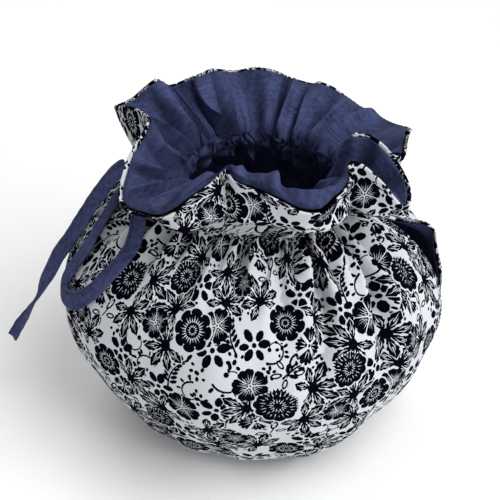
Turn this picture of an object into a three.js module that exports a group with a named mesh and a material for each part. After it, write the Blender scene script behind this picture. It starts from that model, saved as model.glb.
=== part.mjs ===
// Drawstring tea cosy: two printed panels, two lining panels and a flat tie.
// Millimetres, +Z up. The base stands at z = 0 about the origin, the front faces -Y.
// The spout slit is on +X and the handle slit on -X. A turn is an angle about Z from +X.
import * as THREE from 'three';

// ---- sizes ----
const NECK_RADIUS = 43;       // middle of the gathered channel
const NECK_Z = 134;           // lower edge of the channel
const CHANNEL_HEIGHT = 14;
const FRILL_START_Z = 136.8;  // the printed cloth leaves the neck here
const FRILL_START_RADIUS = 47.4;
const OUTER_THICK = 1.5;
const LINING_THICK = 1.2;
const HALF_GAP = 0.38;        // half of the space between the two cloths
const SEAM_GAP = 0.4;         // half of the space at a side seam
const LINING_LIFT = 2.6;      // the lining's hem above the floor, along the cloth
const FACING = 3.2;           // lining rolled over the rim at the front
const FRILL_LENGTH = 45;      // of cloth above the channel, about
const RIPPLES = 26;           // gathers round the neck

// Body profile from the hem up to the neck: [radius, height].
const PROFILE = [
  [51, 0], [53.5, 2.2], [66, 9.5], [75.5, 19], [83.5, 31], [89.5, 42], [94, 53],
  [97.3, 65], [99, 76], [98.8, 86], [95.5, 97], [88, 108], [77.5, 117.5],
  [66, 124.5], [55.5, 130], [47.5, NECK_Z],
];

// Rim of the frill, a row per bend: [turn at the neck, turn at the rim, flare, reach].
// Flare is the lean away from upright in degrees, reach the distance from the neck.
const RIM = [
  [0.5, 357, 22, 37], [3, 356.5, 35, 39], [6, 356.5, 41, 42], [11, 3, 38, 46], [17, 13, 42, 46],
  [25, 26, 54, 46], [34, 38, 60, 43], [44, 49, 60, 42], [53, 58, 57, 42],
  [61, 66, 48, 43], [68, 73, 43, 43], [74, 77, 50, 43], [82, 85, 50, 44],
  [90, 93, 42, 45], [99, 102, 36, 45], [107, 110, 44, 45], [114, 117, 42, 46],
  [121, 123, 30, 45], [127, 128, 26, 44], [133, 134, 36, 43], [140, 139, 48, 44],
  [146, 144, 42, 46], [152, 150, 35, 48], [158, 156, 39, 47], [164, 161, 46, 46],
  [170, 167, 50, 48], [176, 172, 45, 48], [183, 180, 31, 47], [190, 190, 19, 46],
  [196, 199, 15, 46], [202, 207, 19, 46], [208, 213, 25, 46], [213, 217, 34, 46],
  [219, 222, 45, 46], [225, 226, 57, 46], [231, 231, 62, 46], [237, 238, 60, 46],
  [243, 244, 58, 46], [249, 249, 54, 46], [255, 254, 43, 46], [262, 261, 28, 46],
  [267, 266, 24, 46], [273, 273, 29, 46], [280, 280, 35, 46], [287, 286, 41, 46],
  [294, 293, 46, 46], [300, 300, 47, 46], [306, 306, 39, 46], [312, 313, 31, 46],
  [317, 320, 25, 46], [321, 324, 28, 46], [325, 326, 42, 46], [329, 328, 55, 46],
  [334, 332, 61, 46], [338, 337, 60, 46], [342, 341, 52, 46], [345, 343, 41, 46],
  [348, 346, 28, 46], [351, 348, 15, 46], [353.5, 346, 6, 45], [356, 350, 4, 42],
  [358.3, 354.5, 8.5, 39],
];

// Creases under the neck: [turn at the neck, turn lower down, depth, half width, reach].
const CREASES = [
  [276, 272, 4, 5, 65], [307, 291, 8, 4.5, 88], [294, 284, 3, 3.5, 40],
  [325, 316, 8, 4.5, 95], [339, 338, 4, 5, 60], [254, 251, 3.5, 5, 50],
  [223, 239, 4, 6, 80], [198, 204, 3.5, 5, 60], [30, 27, 5, 5, 80],
  [52, 55, 3.5, 4.5, 60], [76, 74, 7, 5, 90], [100, 104, 3.5, 5, 60],
  [122, 120, 6, 5, 85], [148, 151, 4, 5, 70],
];

// Slits in the side seams: [turn, gape in front, gape behind, low height, high height].
const SPOUT_SLIT = { turn: 0, front: 8, back: 14, low: 48, high: 126 };
const HANDLE_SLIT = { turn: 180, front: 8, back: 8, low: 40, high: 122 };
const TIGHT_FOLD = 352;       // turn of the fold that doubles back in the frill
const FLAP_LIFT = 12;         // the back edge of the spout slit stands proud by this
const SLACK = 2;              // the front left of the body hangs flatter by this

// Tie, a row per bend: [x, y, z, then the way its flat side faces].
const TIE_WIDTH = 9.5;
const TIE_THICK = 1.6;
const TIE_CUT = 3;            // slant of the cut end
const TIE = [
  [-47.5, -27.5, 135.6, -0.3, -0.3, 0.9],
  [-53.5, -34, 132.2, -0.4, -0.35, 0.85],
  [-53, -42, 129, -0.4, -0.4, 0.82],
  [-53.5, -50.5, 124.8, -0.4, -0.5, 0.77],
  [-57, -57, 120.2, -0.5, -0.5, 0.7],
  [-63.5, -62.5, 112.8, -0.55, -0.55, 0.63],
  [-70, -64.5, 105.6, -0.6, -0.6, 0.53],
  [-76, -63.5, 99.4, -0.7, -0.6, 0.4],
  [-83, -58.5, 93.8, -0.75, -0.58, 0.3],
  [-89.5, -50, 90.2, -0.8, -0.55, 0.25],
  [-91, -44.5, 92.6, -0.82, -0.5, 0.3],
  [-88.5, -44, 99.2, -0.8, -0.48, 0.4],
  [-84.5, -42.5, 106, -0.75, -0.45, 0.48],
  [-80, -38.5, 112.8, -0.72, -0.4, 0.56],
  [-77, -31.5, 118, -0.68, -0.3, 0.66],
  [-74, -22, 122.3, -0.63, -0.2, 0.74],
  [-72, -13, 125.6, -0.6, -0.1, 0.78],
  [-69, -8.5, 131, -0.7, -0.3, 0.6],
  [-65.5, -9, 137.5, -0.8, -0.45, 0.4],
  [-62.3, -12, 144, -0.8, -0.5, 0.3],
  [-62, -16.5, 149, -0.75, -0.6, 0.3],
  [-65, -19.3, 150.3, -0.7, -0.6, 0.35],
  [-71, -20.2, 144.6, -0.6, -0.65, 0.4],
  [-79, -21.5, 131.9, -0.5, -0.7, 0.45],
  [-85.5, -22.5, 121, -0.5, -0.7, 0.45],
  [-92.7, -23.3, 107.6, -0.5, -0.7, 0.45],
  [-100.6, -24.2, 94.7, -0.5, -0.7, 0.45],
  [-105.3, -25, 84.8, -0.55, -0.65, 0.45],
  [-110.2, -25.6, 74.8, -0.8, -0.45, 0.4],
  [-114, -26.1, 66, -0.9, 0, 0.35],
  [-118.9, -26.8, 57, -0.85, -0.25, 0.4],
  [-124.4, -27.6, 47.8, -0.75, -0.5, 0.42],
  [-128.3, -28.1, 40, -0.7, -0.55, 0.42],
];

// Mesh counts. Mesh columns are shared out by turn and by length of rim.
const COLUMNS = 50;           // in each panel
const BODY_ROWS = 9;
const CHANNEL_ROWS = 2;
const FRILL_ROWS = 5;
const STEPS = 12;             // points along a curve between two rows of a table

// ---- colours, a plain one for each cloth ----
const PRINT_COLOUR = 0xdfe3ea;
const NAVY_COLOUR = 0x343862;
const TIE_COLOUR = 0x2f335c;

// ---- small helpers ----
const radians = (degrees) => (degrees * Math.PI) / 180;
const clamp = (x) => Math.min(1, Math.max(0, x));
const smooth = (x) => clamp(x) ** 2 * (3 - 2 * clamp(x));
const mix = (a, b, t) => a + (b - a) * t;

// Smallest signed difference between two turns, in degrees.
function turnBetween(a, b) {
  return ((((a - b + 180) % 360) + 360) % 360) - 180;
}

// Points on a smooth curve through the given ones, STEPS of them for each span.
function curveThrough(points, closed) {
  const dimension = points[0].length;
  const count = points.length;
  const spans = closed ? count : count - 1;
  const at = (i) => {
    if (closed) return points[(i + count) % count];
    if (i < 0) return points[0].map((x, k) => 2 * x - points[1][k]);
    if (i >= count) return points[count - 1].map((x, k) => 2 * x - points[count - 2][k]);
    return points[i];
  };
  const knot = (a, b) => Math.max(1e-3, Math.sqrt(Math.hypot(...a.map((x, k) => x - b[k]))));
  const out = [];
  for (let i = 0; i < spans; i += 1) {
    const [p0, p1, p2, p3] = [at(i - 1), at(i), at(i + 1), at(i + 2)];
    const [d0, d1, d2] = [knot(p0, p1), knot(p1, p2), knot(p2, p3)];
    for (let s = 0; s < STEPS; s += 1) {
      const t = s / STEPS;
      const point = [];
      for (let k = 0; k < dimension; k += 1) {
        const rise = p2[k] - p1[k];
        const leave = (p1[k] - p0[k]) / d0 - (p2[k] - p0[k]) / (d0 + d1) + rise / d1;
        const arrive = rise / d1 - (p3[k] - p1[k]) / (d1 + d2) + (p3[k] - p2[k]) / d2;
        point.push(
          (2 * t ** 3 - 3 * t ** 2 + 1) * p1[k] + (t ** 3 - 2 * t ** 2 + t) * leave * d1
          + (3 * t ** 2 - 2 * t ** 3) * p2[k] + (t ** 3 - t ** 2) * arrive * d1,
        );
      }
      out.push(point);
    }
  }
  if (!closed) out.push([...points[count - 1]]);
  return out;
}

// Running length along a list of points.
function runningLength(points) {
  const total = [0];
  for (let i = 1; i < points.length; i += 1) {
    const step = Math.hypot(...points[i].map((x, k) => x - points[i - 1][k]));
    total.push(total[i - 1] + step);
  }
  return total;
}

// Value at x in a table given as rising keys and a list of points.
function lookUp(keys, points, x) {
  let i = 1;
  while (i < keys.length - 1 && keys[i] < x) i += 1;
  const t = clamp((x - keys[i - 1]) / (keys[i] - keys[i - 1]));
  return points[i].map((value, k) => mix(points[i - 1][k], value, t));
}

// ---- curves made once from the tables ----
const profileCurve = curveThrough(PROFILE, false);
const profileLength = runningLength(profileCurve);
const BODY_LENGTH = profileLength[profileLength.length - 1];

const rimCurve = curveThrough(RIM.map(([, turn, flare, reach]) => {
  const radius = NECK_RADIUS + reach * Math.sin(radians(flare));
  const z = NECK_Z + reach * Math.cos(radians(flare));
  return [radius * Math.cos(radians(turn)), radius * Math.sin(radians(turn)), z];
}), true);
rimCurve.push(rimCurve[0]);
const rimTurns = [];
RIM.forEach((row, i) => {
  const next = i + 1 < RIM.length ? RIM[i + 1][0] : RIM[0][0] + 360;
  for (let s = 0; s < STEPS; s += 1) rimTurns.push(mix(row[0], next, s / STEPS));
});
rimTurns.push(RIM[0][0] + 360);
const rimLength = runningLength(rimCurve);
const RIM_LENGTH = rimLength[rimLength.length - 1];

function rimAt(turn) {
  const wrapped = RIM[0][0] + ((((turn - RIM[0][0]) % 360) + 360) % 360);
  return lookUp(rimTurns, rimCurve, wrapped);
}

// ---- folds ----
function ripple(turn) {
  const a = radians(turn);
  return Math.sin(RIPPLES * a + 1.3 * Math.sin(3 * a + 0.6) + 0.8 * Math.sin(5 * a));
}

// How far the creases pull the cloth inward, a given distance below the neck.
function creaseDepth(turn, below) {
  let pull = 0;
  CREASES.forEach(([top, low, depth, halfWidth, reach]) => {
    const k = clamp(below / reach);
    const x = turnBetween(turn, mix(top, low, k)) / (halfWidth * (1 + 0.5 * k));
    const shape = Math.exp(-x * x) - 0.35 * Math.exp(-((x / 2.2) ** 2));
    pull += depth * shape * smooth(1 - k) * smooth(below / 14 + 0.2);
  });
  return pull;
}

// Sideways shift, in degrees, of the cloth beside a slit.
function slitShift(slit, turn, side, z, radius) {
  const x = Math.abs(turnBetween(turn, slit.turn));
  const open = Math.sin(Math.PI * clamp((z - slit.low) / (slit.high - slit.low))) ** 1.5;
  const gape = side < 0 ? slit.front : slit.back;
  return side * ((gape * open) / radius) * (180 / Math.PI) * Math.exp(-((x / 22) ** 1.5));
}

// A point in the middle of the cloth. v runs 0 to 1 up the body, 1 to 2 over the
// channel and 2 to 3 up the frill. back is true behind the side seams.
function clothPoint(turn, v, isLining, back) {
  const a = radians(turn);
  const wave = ripple(turn);
  if (v <= 1) {
    const [profileRadius, z] = lookUp(profileLength, profileCurve, v * BODY_LENGTH);
    const below = (1 - v) * BODY_LENGTH;
    let radius = profileRadius - creaseDepth(turn, below);
    radius += 1.6 * wave * Math.exp(-((below / 20) ** 2)) * smooth(below / 6 + 0.15);
    radius -= SLACK * Math.max(0, Math.cos(radians(turn - 236))) * smooth((84 - z) / 50);
    const fromSpout = turnBetween(turn, SPOUT_SLIT.turn);
    if (back) {
      const proud = Math.exp(-((fromSpout / 12) ** 2)) * Math.exp(-(((z - 110) / 11) ** 2));
      radius += FLAP_LIFT * proud;
    }
    const spoutSide = back ? 1 : -1;
    const shift = slitShift(SPOUT_SLIT, turn, spoutSide, z, profileRadius)
      + slitShift(HANDLE_SLIT, turn, -spoutSide, z, profileRadius);
    const b = a + radians(shift);
    return new THREE.Vector3(radius * Math.cos(b), radius * Math.sin(b), z);
  }
  const pinched = Math.exp(-((turnBetween(turn, TIGHT_FOLD) / 12) ** 2));
  const settle = (lining, outer, shared) => mix(isLining ? lining : outer, shared, pinched);
  const startRadius = settle(NECK_RADIUS, FRILL_START_RADIUS, NECK_RADIUS + 2);
  const startZ = settle(NECK_Z + CHANNEL_HEIGHT, FRILL_START_Z, NECK_Z + 9);
  const spread = 0.24 + 0.3 * clamp(v - 1);
  if (v <= 2) {
    const c = v - 1;
    const close = (1 - c) ** (isLining ? 4 : 1);
    const radius = mix(startRadius, PROFILE[PROFILE.length - 1][0], close) + spread * wave;
    return new THREE.Vector3(radius * Math.cos(a), radius * Math.sin(a), mix(NECK_Z, startZ, c));
  }
  const w = v - 2;
  const radius = startRadius + spread * wave;
  const start = new THREE.Vector3(radius * Math.cos(a), radius * Math.sin(a), startZ);
  const rim = new THREE.Vector3(...rimAt(turn));
  const out = settle(0.55, 0.72, 0.62);
  const bend = new THREE.Vector3(
    mix(start.x, rim.x, out),
    mix(start.y, rim.y, out),
    startZ + settle(7, 1.5, 5),
  );
  return start.multiplyScalar((1 - w) ** 2)
    .addScaledVector(bend, 2 * w * (1 - w))
    .addScaledVector(rim, w * w);
}

// Turns of the columns of a panel, shared out by turn and by length of rim.
function columnTurns(first, last) {
  const turns = [];
  const measures = [];
  for (let turn = first; turn <= last + 1e-9; turn += 0.25) {
    const wrapped = RIM[0][0] + ((((turn - RIM[0][0]) % 360) + 360) % 360);
    const along = lookUp(rimTurns, rimLength.map((x) => [x]), wrapped)[0] / RIM_LENGTH;
    turns.push([turn]);
    measures.push([along, turn / 360]);
  }
  const keys = [0];
  for (let i = 1; i < measures.length; i += 1) {
    const step = (((measures[i][0] - measures[i - 1][0]) % 1) + 1) % 1;
    keys.push(keys[i - 1] + 0.5 * step + 0.5 * (measures[i][1] - measures[i - 1][1]));
  }
  const total = keys[keys.length - 1];
  const out = [];
  for (let i = 0; i <= COLUMNS; i += 1) out.push(lookUp(keys, turns, (total * i) / COLUMNS)[0]);
  return out;
}

// How much of the facing is rolled over the rim: 1 at the front, 0 at the back.
function facingAt(turn, lag) {
  return smooth((turn - 208 - lag) / 8) * smooth((346 - lag - turn) / 8);
}

// Closed solid from two grids of points, indexed [column][row].
function slab(name, outside, inside, colour) {
  const columns = outside.length;
  const rows = outside[0].length;
  const positions = [];
  const indices = [];
  [outside, inside].forEach((grid) => grid.forEach((column) => column.forEach((p) => {
    positions.push(p.x, p.y, p.z);
  })));
  const out = (i, j) => i * rows + j;
  const inn = (i, j) => columns * rows + i * rows + j;
  const quad = (a, b, c, d) => indices.push(a, b, c, a, c, d);
  for (let i = 0; i < columns - 1; i += 1) {
    for (let j = 0; j < rows - 1; j += 1) {
      quad(out(i, j), out(i + 1, j), out(i + 1, j + 1), out(i, j + 1));
      quad(inn(i, j), inn(i, j + 1), inn(i + 1, j + 1), inn(i + 1, j));
    }
    quad(out(i, 0), inn(i, 0), inn(i + 1, 0), out(i + 1, 0));
    quad(out(i, rows - 1), out(i + 1, rows - 1), inn(i + 1, rows - 1), inn(i, rows - 1));
  }
  for (let j = 0; j < rows - 1; j += 1) {
    quad(out(0, j), out(0, j + 1), inn(0, j + 1), inn(0, j));
    quad(out(columns - 1, j), inn(columns - 1, j), inn(columns - 1, j + 1), out(columns - 1, j + 1));
  }
  const geometry = new THREE.BufferGeometry();
  geometry.setAttribute('position', new THREE.Float32BufferAttribute(positions, 3));
  geometry.setIndex(indices);
  geometry.computeVertexNormals();
  const material = new THREE.MeshStandardMaterial({ color: colour, roughness: 0.9, side: THREE.DoubleSide });
  const mesh = new THREE.Mesh(geometry, material);
  mesh.name = name;
  return mesh;
}

// Rows of the body lie closer together towards the neck, where the creases are.
const bodyRow = (j) => 1 - (1 - j / BODY_ROWS) ** 1.2;

// One panel of cloth between two side seams.
function panel(name, isLining, back) {
  const first = back ? 0 : 180;
  const turns = columnTurns(first, first + 180);
  const channelRows = isLining ? CHANNEL_ROWS : 1;
  const lowest = isLining ? LINING_LIFT / BODY_LENGTH : 0;
  const far = isLining ? -HALF_GAP : HALF_GAP + OUTER_THICK;
  const near = isLining ? -HALF_GAP - LINING_THICK : HALF_GAP;
  const outside = [];
  const inside = [];
  turns.forEach((turn, i) => {
    const facing = back ? 0 : facingAt(turn, 0);
    const rolled = back ? 0 : facingAt(turn, 8);
    const cut = isLining ? FACING : facing * (FACING + 0.45);
    const last = 3 - cut / FRILL_LENGTH;
    const heights = [];
    for (let j = 0; j <= BODY_ROWS; j += 1) heights.push([Math.max(lowest, bodyRow(j)), 0]);
    for (let j = 1; j <= channelRows; j += 1) heights.push([1 + j / channelRows, 0]);
    for (let j = 1; j <= FRILL_ROWS; j += 1) heights.push([mix(2, last, j / FRILL_ROWS), 0]);
    if (isLining) heights.push([last + 0.4 / FRILL_LENGTH, rolled], [3, rolled]);
    const seam = (i === 0 ? SEAM_GAP : 0) - (i === COLUMNS ? SEAM_GAP : 0);
    const [outColumn, inColumn] = [[], []];
    heights.forEach(([v, roll]) => {
      const at = (t, w) => clothPoint(t, w, isLining, back);
      const along = at(turn + 0.6, v).sub(at(turn - 0.6, v)).normalize();
      const up = at(turn, Math.min(3, v + 0.02)).sub(at(turn, Math.max(0, v - 0.02)));
      const normal = along.clone().cross(up).normalize();
      if (v < 1e-6) normal.set(Math.cos(radians(turn)), Math.sin(radians(turn)), 0);
      const middle = at(turn, v).addScaledVector(along, seam);
      const reach = mix(far, HALF_GAP + OUTER_THICK, roll);
      outColumn.push(middle.clone().addScaledVector(normal, reach));
      inColumn.push(middle.clone().addScaledVector(normal, near));
    });
    outside.push(outColumn);
    inside.push(inColumn);
  });
  return slab(name, outside, inside, isLining ? NAVY_COLOUR : PRINT_COLOUR);
}

// The flat tie, swept along its table.
function strap(name) {
  const bends = curveThrough(TIE, false).filter((row, i) => i % 4 === 0);
  const outside = [[], []];
  const inside = [[], []];
  bends.forEach((bend, i) => {
    const here = new THREE.Vector3(...bend.slice(0, 3));
    const before = new THREE.Vector3(...bends[Math.max(0, i - 1)].slice(0, 3));
    const after = new THREE.Vector3(...bends[Math.min(bends.length - 1, i + 1)].slice(0, 3));
    const ahead = after.sub(before).normalize();
    const face = new THREE.Vector3(...bend.slice(3));
    face.addScaledVector(ahead, -face.dot(ahead)).normalize();
    const across = ahead.clone().cross(face);
    [-1, 1].forEach((side, k) => {
      const edge = here.clone().addScaledVector(across, (side * TIE_WIDTH) / 2);
      if (i === bends.length - 1) edge.addScaledVector(ahead, side * TIE_CUT);
      outside[k].push(edge.clone().addScaledVector(face, TIE_THICK / 2));
      inside[k].push(edge.clone().addScaledVector(face, -TIE_THICK / 2));
    });
  });
  return slab(name, outside, inside, TIE_COLOUR);
}

const group = new THREE.Group();
group.add(panel('outer_front', false, false));
group.add(panel('outer_back', false, true));
group.add(panel('lining_front', true, false));
group.add(panel('lining_back', true, true));
group.add(strap('tie'));

export default group;
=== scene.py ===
"""Drawstring tea cosy: printed cotton outside, dark blue lining, flat fabric tie.

Lengths are millimetres until a mesh is made. +Z is up, the front faces -Y, the
spout slit is on +X. A turn is an angle about Z from +X, in degrees.
"""
import math

import bpy
import numpy as np
from mathutils import Matrix, Vector
from mathutils.geometry import delaunay_2d_cdt


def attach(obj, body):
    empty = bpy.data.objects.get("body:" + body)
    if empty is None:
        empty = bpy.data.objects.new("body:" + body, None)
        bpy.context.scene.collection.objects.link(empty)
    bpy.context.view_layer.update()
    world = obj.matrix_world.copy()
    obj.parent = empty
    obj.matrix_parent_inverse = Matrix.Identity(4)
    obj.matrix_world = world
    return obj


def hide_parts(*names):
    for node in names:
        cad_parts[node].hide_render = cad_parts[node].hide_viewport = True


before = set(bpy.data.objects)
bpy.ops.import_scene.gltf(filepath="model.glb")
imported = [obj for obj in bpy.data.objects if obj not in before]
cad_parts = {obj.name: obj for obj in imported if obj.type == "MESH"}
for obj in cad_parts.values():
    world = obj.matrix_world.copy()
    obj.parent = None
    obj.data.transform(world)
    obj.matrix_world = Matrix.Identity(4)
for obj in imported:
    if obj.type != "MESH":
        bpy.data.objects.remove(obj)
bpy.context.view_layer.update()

MM = 0.001

# ---- sizes of the cosy ----
NECK_RADIUS = 43.0
NECK_Z = 134.0
CHANNEL_HEIGHT = 14.0
FRILL_START_Z = 136.8
FRILL_START_RADIUS = 47.4
RIPPLES = 26
TIGHT_FOLD = 352.0  # turn of the fold that is drawn in tightest
FLAP_OUT = 4.5  # the back edge of the spout slit stands out
FLAP_UP = 8.0  # and is pushed up
SLIT_REACH = 22.0  # degrees over which a slit's edges move the cloth
SLACK = 2.0  # how far the front hangs inwards below its middle
STEPS = 24  # points to each span of a curve
GATHERS = 3.0  # height of the puffs under the neck
FOLD_GAIN = 1.7  # on the depths in FOLDS
PLEATS = 6.0  # height of the lining's pleats
FRILL_BULGE = 4.4  # of the print half way up the frill
FRILL_PINCH = 5.0  # of the print just above the channel

# Body profile from the hem up to the neck: [radius, height].
PROFILE = [
    [51, 0], [53.5, 2.2], [66, 9.5], [75.5, 19], [83.5, 31], [89.5, 42], [94, 53],
    [97.3, 65], [99, 76], [98.8, 86], [95.5, 97], [88, 108], [77.5, 117.5],
    [66, 124.5], [55.5, 130], [47.5, NECK_Z],
]

# Rim of the frill: [turn at the neck, turn at the rim, flare, reach].
RIM = [
    [0.5, 357, 22, 37], [3, 356.5, 35, 39], [6, 356.5, 41, 42], [11, 3, 38, 46], [17, 13, 42, 46],
    [25, 26, 54, 46], [34, 38, 60, 43], [44, 49, 60, 42], [53, 58, 57, 42],
    [61, 66, 48, 43], [68, 73, 43, 43], [74, 77, 50, 43], [82, 85, 50, 44],
    [90, 93, 42, 45], [99, 102, 36, 45], [107, 110, 44, 45], [114, 117, 42, 46],
    [121, 123, 30, 45], [127, 128, 26, 44], [133, 134, 36, 43], [140, 139, 48, 44],
    [146, 144, 42, 46], [152, 150, 35, 48], [158, 156, 39, 47], [164, 161, 46, 46],
    [170, 167, 50, 48], [176, 172, 45, 48], [183, 180, 31, 47], [190, 190, 19, 46],
    [196, 199, 15, 46], [202, 207, 19, 46], [208, 213, 25, 46], [213, 217, 34, 46],
    [219, 222, 45, 46], [225, 226, 57, 46], [231, 231, 62, 46], [237, 238, 60, 46],
    [243, 244, 58, 46], [249, 248, 54, 46], [255, 252.5, 43, 46], [262, 258.5, 29, 46],
    [266, 262.5, 18, 46], [271, 268, 25, 46], [279, 278, 30, 46], [287, 286, 36, 46],
    [294, 293, 43, 46], [300, 300, 45, 46], [306, 307, 39, 46], [312, 316, 31, 46],
    [317, 322.5, 20, 46], [321, 326.5, 24, 46], [325, 329.5, 40, 46], [329, 331.5, 54, 46],
    [334, 334, 61, 46], [338, 337, 60, 46], [342, 341, 52, 46], [345, 343, 41, 46],
    [348, 346, 28, 46], [351, 348, 15, 46], [353.5, 346, 6, 45], [356, 350, 4, 42],
    [358.3, 354.5, 8.5, 39],
]

# Creases under the neck: [turn at the neck, turn lower down, depth, half width, reach].
CREASES = [
    [276, 272, 4, 5, 65], [307, 291, 8, 4.5, 88], [294, 284, 3, 3.5, 40],
    [325, 316, 8, 4.5, 95], [339, 338, 4, 5, 60], [254, 251, 3.5, 5, 50],
    [223, 239, 4, 6, 80], [198, 204, 3.5, 5, 60], [30, 27, 5, 5, 80],
    [52, 55, 3.5, 4.5, 60], [76, 74, 7, 5, 90], [100, 104, 3.5, 5, 60],
    [122, 120, 6, 5, 85], [148, 151, 4, 5, 70],
]

# Folds in the gathers: [turn at the neck, turn lower down, depth, half width, reach].
FOLDS = [
    [272, 269, 2.4, 2.4, 34], [284, 279, 3.4, 2.4, 46], [293, 284, 4.2, 2.6, 62],
    [300, 289, 3.0, 2.2, 44], [307, 292, 5.8, 2.6, 104], [314, 303, 4.2, 2.4, 70],
    [322, 313, 3.6, 2.2, 54], [328, 317, 6.2, 2.8, 108], [336, 331, 4.2, 2.6, 70],
    [345, 342, 3.0, 2.6, 52], [262, 260, 2.0, 2.6, 32], [252, 249, 2.6, 3.0, 60],
    [240, 243, 2.2, 2.6, 40], [228, 236, 2.6, 3.2, 58], [214, 219, 2.4, 3.0, 44],
    [201, 206, 2.6, 3.0, 50], [12, 9, 3, 3, 50], [24, 22, 3, 3, 60], [40, 42, 3, 3, 46],
    [57, 58, 3, 3, 62], [72, 70, 3.4, 3, 70], [88, 90, 2.6, 3, 44], [104, 108, 3, 3, 60],
    [118, 118, 3.2, 3, 66], [133, 136, 2.6, 3, 46], [150, 153, 3, 3, 60], [166, 166, 2.6, 3, 48],
]

# Soft waves: [waves round the cosy, waves up the body, phase, height].
SOFT_WAVES = [
    [5, 2.1, 0.4, 0.55], [7, -1.6, 2.2, 0.5], [11, 2.8, 4.1, 0.34], [13, -3.4, 1.3, 0.3],
    [17, 4.6, 5.2, 0.22], [19, -5.3, 0.2, 0.2], [23, 7.1, 3.3, 0.14], [29, -8.2, 2.6, 0.1],
]

# Slits in the side seams: (turn, gape in front, gape behind, low height, high height).
SPOUT_SLIT = (0, 8, 14, 48, 126)
HANDLE_SLIT = (180, 8, 8, 40, 122)

# Tie: [x, y, z, then the way its flat side faces].
TIE_WIDTH = 9.5
TIE_THICK = 1.5
TIE_CUT = 3.0
TIE = [
    [-47.5, -27.5, 135.6, -0.3, -0.3, 0.9], [-53.5, -34, 132.2, -0.4, -0.35, 0.85],
    [-53, -42, 129, -0.4, -0.4, 0.82], [-53.5, -50.5, 124.8, -0.4, -0.5, 0.77],
    [-57, -57, 120.2, -0.5, -0.5, 0.7], [-63.5, -62.5, 112.8, -0.55, -0.55, 0.63],
    [-70, -64.5, 105.6, -0.6, -0.6, 0.53], [-76, -63.5, 99.4, -0.7, -0.6, 0.4],
    [-83, -58.5, 93.8, -0.75, -0.58, 0.3], [-89.5, -50, 90.2, -0.8, -0.55, 0.25],
    [-91, -44.5, 92.6, -0.82, -0.5, 0.3], [-88.5, -44, 99.2, -0.8, -0.48, 0.4],
    [-84.5, -42.5, 106, -0.75, -0.45, 0.48], [-80, -38.5, 112.8, -0.72, -0.4, 0.56],
    [-77, -31.5, 118, -0.68, -0.3, 0.66], [-74, -22, 122.3, -0.63, -0.2, 0.74],
    [-72, -13, 125.6, -0.6, -0.1, 0.78], [-69, -8.5, 131, -0.7, -0.3, 0.6],
    [-65.5, -9, 137.5, -0.8, -0.45, 0.4], [-62.3, -12, 144, -0.8, -0.5, 0.3],
    [-62, -16.5, 149, -0.75, -0.6, 0.3], [-65, -19.3, 150.3, -0.7, -0.6, 0.35],
    [-71, -20.2, 144.6, -0.6, -0.65, 0.4], [-79, -21.5, 131.9, -0.5, -0.7, 0.45],
    [-85.5, -22.5, 121, -0.5, -0.7, 0.45], [-92.7, -23.3, 107.6, -0.5, -0.7, 0.45],
    [-100.6, -24.2, 94.7, -0.5, -0.7, 0.45], [-105.3, -25, 84.8, -0.55, -0.65, 0.45],
    [-110.2, -25.6, 74.8, -0.8, -0.45, 0.4], [-114, -26.1, 66, -0.9, 0, 0.35],
    [-118.9, -26.8, 57, -0.85, -0.25, 0.4], [-124.4, -27.6, 47.8, -0.75, -0.5, 0.42],
    [-128.3, -28.1, 40, -0.7, -0.55, 0.42],
]

# ---- sizes of the cloth as it is cut and sewn ----
FRILL_CLOTH = 46.0  # of cloth above the channel
OUTER_LIFT = 1.2  # the printed cloth lies this far outside the middle
LINING_DROP = 0.9  # and the lining this far inside it
OUTER_FOLD = 0.65  # radius of the printed cloth's folded edges
LINING_FOLD = 0.3
TURNED_IN = 3.6  # of cloth turned in at every edge
LINING_TURNED_IN = 2.0
NET_SPACING = 2.9  # between the points that carry the folds
EDGE_SPACING = 2.2  # between the points along a turned edge
STITCH = (3.0, 2.1, 0.5)  # pitch, length and width of a stitch
FINE_STITCH = (2.6, 1.8, 0.42)
TIE_STITCH = (2.6, 1.8, 0.36)

# ---- camera and light ----
VIEW = (8.0, 34.0, 2.5)  # azimuth, elevation and roll
AIM = (-2.8, 97.0)  # to the right of the axis, and above the base
SENSOR = 36.0
FOCAL_LENGTH = 81.648
DISTANCE = 0.6  # from here on in metres
WORLD_LIGHT = 0.42
LAMPS = [  # name, place, size, watts
    ("Key", (0.72, -0.38, 1.22), 1.3, 17), ("Side", (1.1, -0.6, 0.45), 0.6, 3),
    ("Front", (0.1, -1.25, 0.6), 0.5, 1), ("Back", (-0.5, 0.9, 1.0), 0.8, 5),
]
FLOOR = 4.0


# ---- curves through the tables ----
def smooth(x):
    x = np.clip(x, 0, 1)
    return x * x * (3 - 2 * x)


def mix(a, b, t):
    return a + (b - a) * t


def hump(x):
    """Smooth hump, 1 at 0 and next to nothing past 2."""
    return np.exp(-(x**2))


def turn_between(a, b):
    return np.mod(a - b + 180, 360) - 180


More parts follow.
